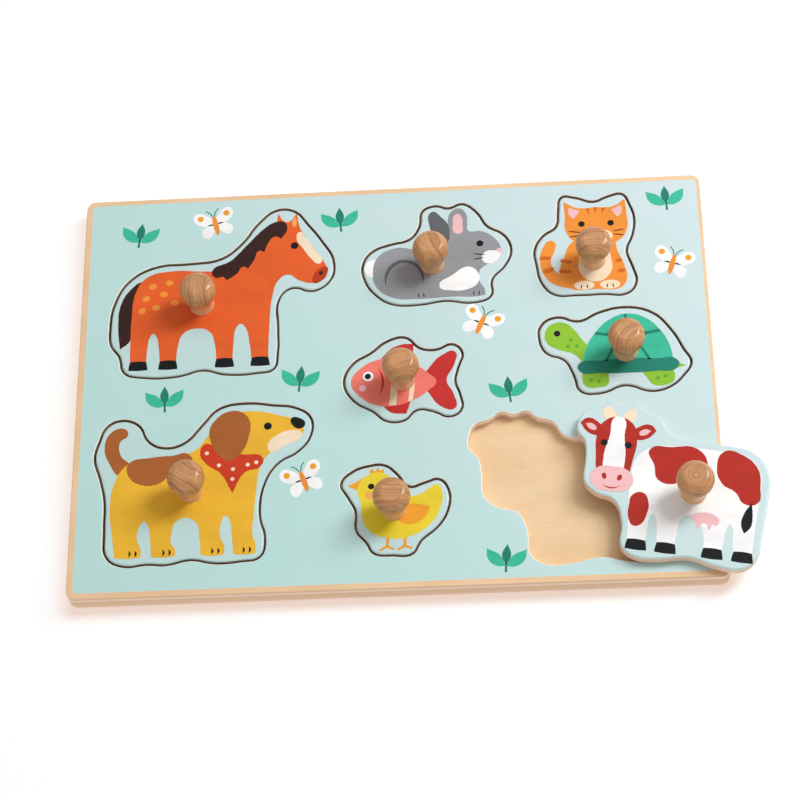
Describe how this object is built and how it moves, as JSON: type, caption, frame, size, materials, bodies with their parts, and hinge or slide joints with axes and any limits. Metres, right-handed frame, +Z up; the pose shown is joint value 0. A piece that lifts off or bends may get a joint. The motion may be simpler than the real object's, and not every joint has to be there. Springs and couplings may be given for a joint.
{
  "type": "wooden knob puzzle",
  "caption": "Flat plywood puzzle board with animal-shaped recesses and lift-out animal pieces, each with a turned wooden knob; the cow piece lies loose beside its recess.",
  "frame": {"origin": "middle of the board's underside, on the surface it lies on", "axes": "+X to the board's right, +Y to its back edge, +Z up out of the recesses"},
  "size_m": [0.3205, 0.21, 0.0356],
  "materials": {
    "bare_plywood": "bare birch plywood, matt",
    "printed_sheet": "plywood printed pale aqua, satin lacquer",
    "printed_plate": "plywood printed in flat inks, satin lacquer",
    "beech_knob": "turned beech, clear gloss lacquer",
    "zinc_screw": "zinc plated steel"
  },
  "bodies": {
    "board": {"backing_board": "bare_plywood", "frame_sheet": "printed_sheet"},
    "horse": {"horse_plate": "printed_plate", "horse_knob": "beech_knob", "horse_screw": "zinc_screw"},
    "rabbit": {"rabbit_plate": "printed_plate", "rabbit_knob": "beech_knob", "rabbit_screw": "zinc_screw"},
    "cat": {"cat_plate": "printed_plate", "cat_knob": "beech_knob", "cat_screw": "zinc_screw"},
    "turtle": {"turtle_plate": "printed_plate", "turtle_knob": "beech_knob", "turtle_screw": "zinc_screw"},
    "fish": {"fish_plate": "printed_plate", "fish_knob": "beech_knob", "fish_screw": "zinc_screw"},
    "dog": {"dog_plate": "printed_plate", "dog_knob": "beech_knob", "dog_screw": "zinc_screw"},
    "chick": {"chick_plate": "printed_plate", "chick_knob": "beech_knob", "chick_screw": "zinc_screw"},
    "cow": {"cow_plate": "printed_plate", "cow_knob": "beech_knob", "cow_screw": "zinc_screw"}
  },
  "joints": [
    {"name": "horse_lift", "type": "slide", "parent": "board", "child": "horse", "axis": [0, 0, 1], "range_m": [0, 0.04]},
    {"name": "rabbit_lift", "type": "slide", "parent": "board", "child": "rabbit", "axis": [0, 0, 1], "range_m": [0, 0.04]},
    {"name": "cat_lift", "type": "slide", "parent": "board", "child": "cat", "axis": [0, 0, 1], "range_m": [0, 0.04]},
    {"name": "turtle_lift", "type": "slide", "parent": "board", "child": "turtle", "axis": [0, 0, 1], "range_m": [0, 0.04]},
    {"name": "fish_lift", "type": "slide", "parent": "board", "child": "fish", "axis": [0, 0, 1], "range_m": [0, 0.04]},
    {"name": "dog_lift", "type": "slide", "parent": "board", "child": "dog", "axis": [0, 0, 1], "range_m": [0, 0.04]},
    {"name": "chick_lift", "type": "slide", "parent": "board", "child": "chick", "axis": [0, 0, 1], "range_m": [0, 0.04]},
    {"name": "cow_lift", "type": "slide", "parent": "board", "child": "cow", "axis": [0, 0, 1], "range_m": [0, 0.04]}
  ]
}
